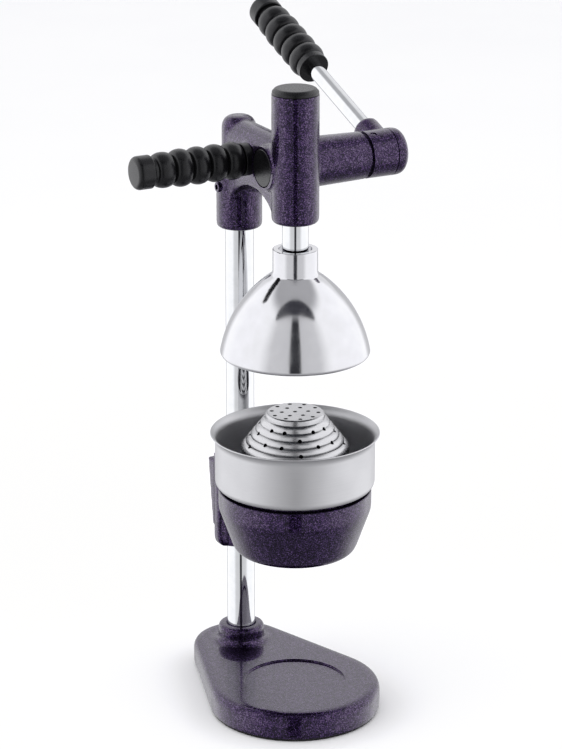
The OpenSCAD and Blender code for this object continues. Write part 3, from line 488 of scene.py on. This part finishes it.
def block(name, low, high):
    """A box between two corners in millimetres."""
    deselect()
    bpy.ops.mesh.primitive_cube_add(size=1, location=[(a + b) / 2 * MM for a, b in zip(low, high)])
    piece = bpy.context.object
    piece.name = piece.data.name = name
    piece.scale = [(b - a) * MM for a, b in zip(low, high)]
    return settle(piece)


def flange(name, low, high, front, rear):
    """The clamp's plate between two heights, with round lower corners."""
    outline = soft([(-FLANGE_HALF, high), (FLANGE_HALF, high), (FLANGE_HALF, low, FLANGE_CORNER),
                    (-FLANGE_HALF, low, FLANGE_CORNER)])
    return plate(name, outline, rear - front, at=(0, front * MM, 0))


cup_body = turned("cup_body", soft([(0, 167.9), (57.8, 167.9, 10), (73.9, 213, 7), (73.9, CAST_TOP),
                                    (0, CAST_TOP)]), steps=128)
cup_arm = block("cup_arm", (-22.3, 20, 178), (22.3, 108, 224))
front_flange = flange("front_flange", CLAMP_FOOT, CAST_TOP, 105.7, 121)
front_sleeve = round_bar("front_sleeve", SLEEVE_R, CLAMP_FOOT, CAST_TOP, at=at_column)
cup = cast("cup_cast", [cup_body, cup_arm, front_flange, front_sleeve], 2.2 * MM, 4)
cut(cup, turned("cup_inside", [
    (0, 175), (50.5, 175), (66.6, 213), (66.6, 233.2), (67.4, CUP_TOP), (69.4, CUP_TOP), (69.6, 228),
    (72, 228), (72, 231.2), (72.5, 231.7), (73.2, 231.7), (76, 229.6), (95, 229.6), (95, 273), (0, 273)],
    steps=128))
cut(cup, round_bar("spout_way", 15.5, 163, 178))
cut(cup, block("joint_face", (-60, 115.6, 120), (60, 180, 260)))
cut(cup, round_bar("clamp_bore", CLAMP_BORE, 120, 260, at=at_column))
cut(cup, block("clamp_top", (-60, 76, CUP_TOP), (60, 180, 263)))
dress(cup, hammer_paint, "cup", "holder")

# Rear half of the clamp. A casting that is thick above and thin below, drawn to the cup's half by
# two socket screws that sit on washers in deep counterbores.
CAP_FOOT, CAP_TOP = 149.8, 226.2
BOLT_X, BOLT_Y, BOLT_Z = 23.3, 121.2, 202
FORWARDS = (pi / 2, 0, 0)
wedge = plate("cap_wedge", [(108, CAP_FOOT), (119.7, CAP_FOOT), (130.2, CAP_TOP), (108, CAP_TOP)],
              2 * FLANGE_HALF, at=(FLANGE_HALF * MM, 0, 0), turn=(0, 0, pi / 2))
cut(wedge, flange("cap_flange", CAP_FOOT, CAP_TOP, 108, 131), how="INTERSECT")
cap_sleeve = round_bar("cap_sleeve", SLEEVE_R, CAP_FOOT, CAP_TOP, at=at_column)
clamp_cap = cast("clamp_cap_cast", [wedge, cap_sleeve], 1.8 * MM, 4)
cut(clamp_cap, block("cap_face", (-60, 60, 120), (60, 116.4, 260)))
cut(clamp_cap, round_bar("cap_bore", CLAMP_BORE, 120, 260, at=at_column))
for side in (-BOLT_X, BOLT_X):
    cut(clamp_cap, turned("counterbore", [(0, 0), (4.9, 0), (4.9, -22), (0, -22)], steps=48,
                          at=(side * MM, 119.2 * MM, BOLT_Z * MM), turn=FORWARDS))
dress(clamp_cap, hammer_paint, "cup", "clamp_cap")

at_bolt = (-BOLT_X * MM, BOLT_Y * MM, BOLT_Z * MM)
bolt = turned("clamp_socket_screw", soft([(0, 13), (2.5, 13, 0.5), (2.5, 0), (4.2, 0, 0.3), (4.2, -5, 0.6),
                                          (0, -5)]), steps=48, at=at_bolt, turn=FORWARDS)
hex_socket(bolt, 2.3, -5, at_bolt, FORWARDS)
ring = soft([(2.6, 0), (4.4, 0, 0.3), (4.4, 2, 0.3), (2.6, 2)])
washer = turned("clamp_washer", ring + ring[:1], steps=48, at=at_bolt, turn=FORWARDS)
for piece, node in ((bolt, "clamp_bolts"), (washer, "clamp_washers")):
    pick(piece)
    bpy.ops.object.mode_set(mode="EDIT")
    bpy.ops.mesh.select_all(action="SELECT")
    bpy.ops.mesh.duplicate_move(TRANSFORM_OT_translate={"value": (2 * BOLT_X * MM, 0, 0)})
    bpy.ops.object.mode_set(mode="OBJECT")
    dress(piece, zinc_steel, "cup", node)

# Bowl. Spun from stainless sheet, with an upright wall, a flared and rolled rim and a funnel in its
# floor that ends in a short spout. The sheet is brushed round its axis to a satin finish.
BOWL_R, BOWL_FLOOR, BOWL_SHEET = 77, 234, 1.2
FLARE_X, FLARE_Z, FLARE_R, FLARE_INSIDE_R = 86.6, 279.5, 9.6, 10.9
ROLL_X, ROLL_Z, ROLL_R = 80.87, 288, 0.65


def brushed_sheet(name, dark, light, smooth, rough):
    """Stainless sheet with fine scratches round its axis, between two tones and two roughnesses."""
    sheet, nodes, links, shader, place = finish(name)
    apart = nodes.new("ShaderNodeSeparateXYZ")
    links.new(place, apart.inputs[0])
    around = calculate(nodes, links, "ARCTAN2", apart.outputs["Y"], apart.outputs["X"])
    sway = calculate(nodes, links, "MULTIPLY", calculate(nodes, links, "SINE", around), 3 * MM)
    squares = [calculate(nodes, links, "POWER", apart.outputs[axis], 2) for axis in "XY"]
    reach = calculate(nodes, links, "SQRT", calculate(nodes, links, "ADD", *squares))
    rings = nodes.new("ShaderNodeCombineXYZ")
    for axis, value in (("X", sway), ("Y", reach), ("Z", apart.outputs["Z"])):
        links.new(value, rings.inputs[axis])
    brushing = grain(nodes, links, rings.outputs[0], 0.35 * MM, 5, 0.6)
    cloud = grain(nodes, links, place, 25 * MM, 3)
    links.new(ramp(nodes, links, brushing, [(0.25, dark), (0.75, light)]), shader.inputs["Base Color"])
    links.new(calculate(nodes, links, "ADD", spread(nodes, links, brushing, 0.3, 0.7, smooth, rough),
                        spread(nodes, links, cloud, 0.3, 0.7, 0.0, 0.06)), shader.inputs["Roughness"])
    shader.inputs["Metallic"].default_value = 1.0
    relief(nodes, links, shader, brushing, 0.006 * MM)
    return sheet


def bow(x, z, radius, degrees):
    """Points on an arc round a centre, in degrees up from the outward side."""
    return [(x + radius * cos(radians(a)), z + radius * sin(radians(a))) for a in degrees]


stainless = brushed_sheet("stainless", (0.52, 0.52, 0.53), (0.60, 0.60, 0.61), 0.41, 0.49)
bowl_outside = soft([(15, 200), (56, BOWL_FLOOR, 4), (67, BOWL_FLOOR), (BOWL_R, BOWL_FLOOR, 7),
                     (BOWL_R, FLARE_Z)], 10)
flare = bow(FLARE_X, FLARE_Z, FLARE_R, [180 - a for a in range(4, 57, 4)])
rolled_rim = bow(ROLL_X, ROLL_Z, ROLL_R, range(-36, 120, 20))
flare_inside = bow(FLARE_X, FLARE_Z, FLARE_INSIDE_R, [180 - a for a in range(56, 0, -4)])
inside_r, inside_floor = 75.7, BOWL_FLOOR + BOWL_SHEET
bowl_inside = soft([(inside_r, FLARE_Z), (inside_r, inside_floor, 5.8), (56, inside_floor, 4),
                    (15, 202.4)], 10)
bowl = turned("bowl_sheet", bowl_outside + flare + rolled_rim + flare_inside + bowl_inside
              + bowl_outside[:1], steps=192)
dress(bowl, stainless, "cup", "bowl", angle=50)
spout_wall = soft([(12.6, 161), (14.98, 161, 0.6), (14.98, 202.4), (12.6, 202.4)])
spout = turned("spout_tube", spout_wall + spout_wall[:1])
dress(spout, stainless, "cup", "bowl_spout")

# Strainer. Pressed from stainless sheet into round ring beads with grooves between them, and a flat
# foot that rests on the bowl's floor. Holes are punched through the top and along the grooves.
BEADS, BEAD_WIDTH, BEAD_HEIGHT, BEAD_BULGE, BEAD_STEPS = 5, 4.64, 6, 0.95, 10
STRAINER_TOP, FIRST_GROOVE_R, FIRST_GROOVE_Z, SKIRT_R, STRAINER_FOOT = 308.5, 28.8, 303.5, 52, 235.2
HOLE_R = 2.0
groove_r = [FIRST_GROOVE_R + BEAD_WIDTH * i for i in range(BEADS + 1)]
groove_z = [FIRST_GROOVE_Z - BEAD_HEIGHT * i for i in range(BEADS + 1)]
slope = atan2(BEAD_HEIGHT, BEAD_WIDTH)
outside = soft([(0, STRAINER_TOP), (28.2, STRAINER_TOP, 2.6), (FIRST_GROOVE_R, FIRST_GROOVE_Z)])
for i in range(BEADS):
    for k in range(1, BEAD_STEPS + 1):
        bulge = BEAD_BULGE * sin(pi * k / BEAD_STEPS) ** 0.6
        outside.append((groove_r[i] + BEAD_WIDTH * k / BEAD_STEPS + bulge * sin(slope),
                        groove_z[i] - BEAD_HEIGHT * k / BEAD_STEPS + bulge * cos(slope)))
outside += soft([(SKIRT_R, 273.5), (SKIRT_R, 236.8, 1.5), (65.2, 236.8, 0.7), (65.2, STRAINER_FOOT)])[1:]
inside = soft([(0, 306.9), (26.6, 306.9, 1), (27.2, 302.4), (50.4, 272.4, 1), (50.4, STRAINER_FOOT)])
pressed_stainless = brushed_sheet("pressed_stainless", (0.46, 0.46, 0.47), (0.56, 0.56, 0.57), 0.20, 0.28)
strainer = turned("strainer_sheet", outside + inside[::-1], steps=180)
holes = []
for count, radius in ((1, 0), (6, 12.7), (10, 22.4)):
    for i in range(count):
        a = radians(39 + 360 * (i + 1) / count)
        holes.append(((radius * cos(a), radius * sin(a), STRAINER_TOP), 0, a))
for band in (1, 3):
    for i in range(1, 16):
        groove = band + (1 if i % 3 == 0 else 0)
        a = radians(33 + 24 * i)
        holes.append(((groove_r[groove] * cos(a), groove_r[groove] * sin(a), groove_z[groove]), slope, a))
deselect()
bpy.ops.mesh.primitive_cylinder_add(vertices=24, radius=HOLE_R * MM, depth=9 * MM)
punch = bpy.context.object
punches = []
for (x, y, z), tilt, a in holes:
    copy = punch.copy()
    copy.data = punch.data.copy()
    copy.location = (x * MM, y * MM, z * MM)
    copy.rotation_euler = (0, tilt, a)
    bpy.context.scene.collection.objects.link(copy)
    punches.append(copy)
bpy.data.objects.remove(punch)
pick(punches[0])
for copy in punches[1:]:
    copy.select_set(True)
bpy.ops.object.join()
cut(strainer, settle(bpy.context.object))
dress(strainer, pressed_stainless, "cup", "strainer", angle=40)

# Head. One casting with a front tube for the rack, a rear tube on the column, a web with an arch
# between them and a housing for the pinion that runs out to the right. Its ends are machined.
PINION = (0, 22 * MM, 546.5 * MM)
SIDE_GRIP = (0, 65 * MM, 545 * MM)
ALONG_X, AGAINST_X = (0, pi / 2, 0), (0, -pi / 2, 0)
TOWER_R, TOWER_FOOT, TOWER_TOP = 22.5, 496.8, 619.64
REAR_R, REAR_FOOT, REAR_SHOULDER, REAR_NECK_R, REAR_TOP = 22.3, 463.8, 540.2, 16.8, 575.2
WEB_HALF, WEB_RISE = 16.2, 556.5
tower = turned("tower", soft([(0, TOWER_FOOT), (TOWER_R, TOWER_FOOT, 4), (TOWER_R, 626), (0, 626)]))
rear_tube = turned("rear_tube", soft([
    (0, REAR_FOOT), (REAR_R, REAR_FOOT, 4), (REAR_R, REAR_SHOULDER, 5), (REAR_NECK_R, 541),
    (REAR_NECK_R, REAR_TOP, 11), (0, REAR_TOP)]), at=at_column)
web_back = bow(0, WEB_RISE, WEB_HALF, range(0, 181, 10))
web = plate("web", [(-WEB_HALF, 499), (WEB_HALF, 499)] + web_back, 116)
fillet = plate("web_fillet", [(-14, 490), (14, 490), (14, 536), (-14, 536)], 30, at=(0, 80 * MM, 0))
pick(fillet)
bpy.ops.object.mode_set(mode="EDIT")
bpy.ops.mesh.select_all(action="DESELECT")
bpy.ops.object.mode_set(mode="OBJECT")
for vertex in fillet.data.vertices:
    vertex.select = vertex.co.y > 100 * MM
bpy.ops.object.mode_set(mode="EDIT")
bpy.ops.transform.resize(value=(1.4, 1, 1), center_override=(0, 0, 0))
bpy.ops.object.mode_set(mode="OBJECT")
arch = [(43.5 * cos(radians(a)), 28 * sin(radians(a))) for a in range(0, 360, 6)]
for part in (web, fillet):
    cut(part, plate("arch", arch, 60, at=(30 * MM, 58 * MM, 490 * MM), turn=(0, 0, pi / 2)))
housing = turned("housing", soft([(0, -26), (21.1, -26), (21.1, 0), (24.7, 0, 2), (22.6, 88), (0, 88)]),
                 at=PINION, turn=ALONG_X)
side_boss = turned("side_boss", soft([(0, -17.2), (16, -17.2, 1), (16, 0), (0, 0)]),
                   at=SIDE_GRIP, turn=ALONG_X)
head = cast("head_cast", [tower, rear_tube, web, fillet, housing, side_boss], 1.9 * MM, 6)
cut(head, block("tower_top", (-50, -50, TOWER_TOP), (50, 50, 660)))
cut(head, block("right_face", (80.8, -20, 500), (110, 64, 600)))
cut(head, block("left_face", (-60, -20, 522), (-24, 52, 575)))
cut(head, turned("rack_way", [(0, 480), (15.52, 480), (15.52, 519), (13, 519), (13, 593.6), (15.52, 593.6),
                              (15.52, 640), (0, 640)]))
cut(head, turned("pinion_way", [(0, -40), (18.5, -40), (18.5, 13.5), (15.52, 13.5), (15.52, 100), (0, 100)],
                 at=PINION, turn=ALONG_X))
cut(head, round_bar("column_way", 14.02, 440, COLUMN_TOP, at=at_column))
cut(head, round_bar("stud_way", 5.02, 4, 60, at=SIDE_GRIP, turn=AGAINST_X))
dress(head, hammer_paint, "frame", "head")
head_screw = grub_screw("head_set_screw", 14.1, 24.6, (0, COLUMN_Y, 506 * MM), AGAINST_X)
dress(head_screw, hammer_paint, "frame", "head_screw")

# Bushes, cap and plug of the head. Bronze bushes guide the rack and the pinion's shaft, a moulded
# cap closes the front tube, and a smooth black plug with a turned edge closes the housing.
bronze, nodes, links, shader, place = finish("bronze")
tarnish = grain(nodes, links, place, 4 * MM, 5)
tint(nodes, links, shader, tarnish, (0.32, 0.19, 0.08), (0.46, 0.30, 0.13))
polish(nodes, links, shader, tarnish, 0.24, 0.42)
shader.inputs["Metallic"].default_value = 1.0
carried(bronze, "lower_guide_bush", "upper_guide_bush", "left_shaft_bush", "right_shaft_bush")
black_plastic, nodes, links, shader, place = finish("black_plastic")
tint(nodes, links, shader, grain(nodes, links, place, 15 * MM), (0.006, 0.006, 0.007), (0.011, 0.011, 0.012))
skin = grain(nodes, links, place, 0.7 * MM, 4)
polish(nodes, links, shader, skin, 0.24, 0.36)
relief(nodes, links, shader, skin, 0.025 * MM)
cap = turned("top_cap_moulded", soft([
    (0, 615.66), (15.4, 615.66, 0.6), (15.4, 619.66), (21.9, 619.66, 0.5), (22.1, 622.2, 1.5),
    (19, 625.6, 4), (0, 625.6)]))
dress(cap, black_plastic, "frame", "top_cap")
plug = turned("end_plug_moulded", soft([
    (0, -24), (17.3, -24, 0.4), (18.46, -22.9, 0.5), (18.46, -16, 0.4), (10.52, -16), (10.52, -21.5),
    (0, -21.5)]), steps=128, at=PINION, turn=ALONG_X)
dress(plug, black_plastic, "frame", "end_plug", angle=50)

# Rack and bell. The rack is a chromed rod with a flat and teeth milled into its rear. The bell is
# turned from aluminium, polished on the outside and drawn up to the rack by a screw from below.
RACK_R, RACK_FOOT, RACK_TOP = 12.5, 449, 615.1
TOOTH_PITCH, TOOTH_SPACES = 6.2832, 13
DOME_X, DOME_Z, DOME_R, HOLLOW_R = -43.83, 350.5, 117, 112.5
rack = turned("rack_rod", soft([(0, RACK_FOOT), (RACK_R, RACK_FOOT, 0.8), (RACK_R, RACK_TOP, 1.2),
                                (0, RACK_TOP)]), steps=128)
cut(rack, block("rack_flat", (-20, 8, 528.5), (20, 20, 640)))
tooth_space = plate("tooth_space", [(3.25, -0.645), (10, -3.10), (10, 3.10), (3.25, 0.645)], 40,
                    at=(20 * MM, 0, 540.217 * MM), turn=(0, 0, pi / 2))
apply(tooth_space, "ARRAY", count=TOOTH_SPACES, use_relative_offset=False, use_constant_offset=True,
      constant_offset_displace=(0, 0, TOOTH_PITCH * MM))
cut(rack, tooth_space)
dress(rack, chrome_plate, "press", "rack")
polished_aluminium, nodes, links, shader, place = finish("polished_aluminium")
apart = nodes.new("ShaderNodeSeparateXYZ")
links.new(place, apart.inputs[0])
lathe = nodes.new("ShaderNodeCombineXYZ")
links.new(apart.outputs["Z"], lathe.inputs["Z"])
turning = grain(nodes, links, lathe.outputs[0], 0.6 * MM, 4)
smears = grain(nodes, links, place, 16 * MM, 4)
tint(nodes, links, shader, smears, (0.57, 0.57, 0.585), (0.61, 0.61, 0.625))
polish(nodes, links, shader, smears, 0.09, 0.15)
shader.inputs["Metallic"].default_value = 1.0
relief(nodes, links, shader, turning, 0.004 * MM)
raw_aluminium, nodes, links, shader, place = finish("raw_aluminium")
dull = grain(nodes, links, place, 3 * MM, 5)
tint(nodes, links, shader, dull, (0.45, 0.46, 0.47), (0.54, 0.55, 0.56))
polish(nodes, links, shader, dull, 0.34, 0.48)
shader.inputs["Metallic"].default_value = 1.0
relief(nodes, links, shader, dull, 0.03 * MM)
dome = bow(DOME_X, DOME_Z, DOME_R, [54.4 - 1.107 * k for k in range(41)])
bell_lip = bow(67.4, 371, 4, range(0, -86, -10))
hollow_dome = bow(DOME_X, DOME_Z, HOLLOW_R, [8.43 + k for k in range(31)])
neck = soft([(12.6, 468.5), (16, 468.5), (16, 471, 0.3), (21.5, 471, 0.9), (21.6, 447.4, 5), dome[2]])[:-1]
screw_seat = [(43.8, 421), (10, 421), (10, 430), (5.5, 430), (5.5, RACK_FOOT), (12.6, RACK_FOOT)]
bell = turned("bell_turned", [(12.6, RACK_FOOT)] + neck + dome[2:] + bell_lip + hollow_dome + screw_seat,
              steps=192)
dress(bell, polished_aluminium, "press", "bell", angle=40)
bell.data.materials.append(raw_aluminium)
for face in bell.data.polygons:
    inwards = face.normal.dot(Vector((face.center.x, face.center.y, 20 * MM))) < 0
    if inwards and face.center.z < 432 * MM:
        face.material_index = 1
carried(zinc_steel, "bell_washer", "bell_screw")

# Lever. A painted hub with a socket for the arm is pinned on the pinion's shaft. A fine groove
# runs round its outer end. The arm is a chromed rod that leans back when the press is open.
LEAN = (radians(-70), 0, 0)
HUB_R, HUB_END = 22.7, 124.2
ARM_R, ARM_FOOT, ARM_END, GRIP_ROOT = 8, 14, 255, 153
at_lever = Vector((109 * MM, PINION[1], PINION[2]))
hub_body = turned("hub_body", soft([(0, 76), (HUB_R, 76), (HUB_R, HUB_END, 7), (0, HUB_END)]),
                  at=PINION, turn=ALONG_X)
hub_boss = turned("hub_boss", soft([(0, 0), (13.2, 0), (13.2, 42.3, 2), (0, 42.3)]), at=at_lever, turn=LEAN)
hub = cast("hub_cast", [hub_body, hub_boss], 1.6 * MM, 4)
cut(hub, block("hub_face", (60, -20, 500), (81.8, 64, 600)))
cut(hub, round_bar("shaft_way", 11.02, 70, 117, at=PINION, turn=ALONG_X))
cut(hub, round_bar("arm_way", 8.02, ARM_FOOT, 60, at=at_lever, turn=LEAN))
hub_line = turned("hub_line", [(21.7, 111.2), (24, 110.9), (24, 112.1), (21.7, 111.8), (21.7, 111.2)],
                  at=PINION, turn=ALONG_X)
cut(hub_line, round_bar("line_end", 15.5, 0, 60, at=at_lever, turn=LEAN))
cut(hub, hub_line)
hub_step = turned("hub_step", [(20.2, 70), (27, 70), (27, 85), (20.2, 85), (20.2, 70)],
                  at=PINION, turn=ALONG_X)
cut(hub, hub_step)
at_pin, pin_turn = (91.4 * MM, PINION[1], PINION[2]), (radians(20), 0, 0)
cut(hub, round_bar("pin_way", 3.02, -40, 40, steps=48, at=at_pin, turn=pin_turn))
dress(hub, hammer_paint, "lever", "lever_hub")
pin = turned("hub_cross_pin", soft([(0, -21.9), (3, -21.9, 0.9), (3, 21.9, 0.9), (0, 21.9)]), steps=48,
             at=at_pin, turn=pin_turn)
dress(pin, hammer_paint, "lever", "hub_pin")
carried(zinc_steel, "pinion_shaft")
arm = turned("lever_rod", soft([(0, ARM_FOOT), (ARM_R, ARM_FOOT, 0.8), (ARM_R, ARM_END, 0.8), (0, ARM_END)]),
             at=at_lever, turn=LEAN)
dress(arm, chrome_plate, "lever", "lever_arm")

# Grips. Black plastic mouldings with five ribs, a smooth neck and a smooth end cap. One is pushed
# on a stud in the head's left side, to steady the press, and one on the end of the lever.
GRIP_LENGTH, NECK_LENGTH, NECK_R = 119, 8, 15.75
RIBS, RIB_WIDTH, RIB_STEPS, RIB_R, LAST_RIB_R, VALLEY_R = 5, 18.1, 16, 18, 17, 13
CAP_START, CAP_R = 102, 16


def ribbed_grip(name, bore, at, turn):
    """A grip that stands on its neck, with a bore for its rod."""
    section = [(0, CAP_START), (bore, CAP_START), (bore, 0)]
    section += soft([(bore, 0), (NECK_R, 0, 0.8), (NECK_R, NECK_LENGTH, 0.8), (13.2, NECK_LENGTH)])[1:]
    for rib in range(RIBS):
        crest = LAST_RIB_R if rib == RIBS - 1 else RIB_R
        section += [(VALLEY_R + (crest - VALLEY_R) * sqrt(sin(pi * k / RIB_STEPS)),
                     NECK_LENGTH + RIB_WIDTH * (rib + k / RIB_STEPS)) for k in range(1, RIB_STEPS)]
        section.append((VALLEY_R, NECK_LENGTH + RIB_WIDTH * (rib + 1)))
    section += soft([(VALLEY_R, 98.6), (VALLEY_R, CAP_START), (CAP_R, CAP_START, 1.6),
                     (CAP_R, GRIP_LENGTH, 4.8), (0, GRIP_LENGTH)])[1:]
    return turned(name, section, at=at, turn=turn)


side_grip = ribbed_grip("side_grip_moulded", 5.02, (-17 * MM, SIDE_GRIP[1], SIDE_GRIP[2]), AGAINST_X)
dress(side_grip, black_plastic, "frame", "side_grip", angle=45)
carried(zinc_steel, "side_grip_stud")
along_lever = Euler(LEAN).to_matrix() @ Vector((0, 0, GRIP_ROOT * MM))
lever_grip = ribbed_grip("lever_grip_moulded", 8.02, at_lever + along_lever, LEAN)
dress(lever_grip, black_plastic, "lever", "lever_grip", angle=45)
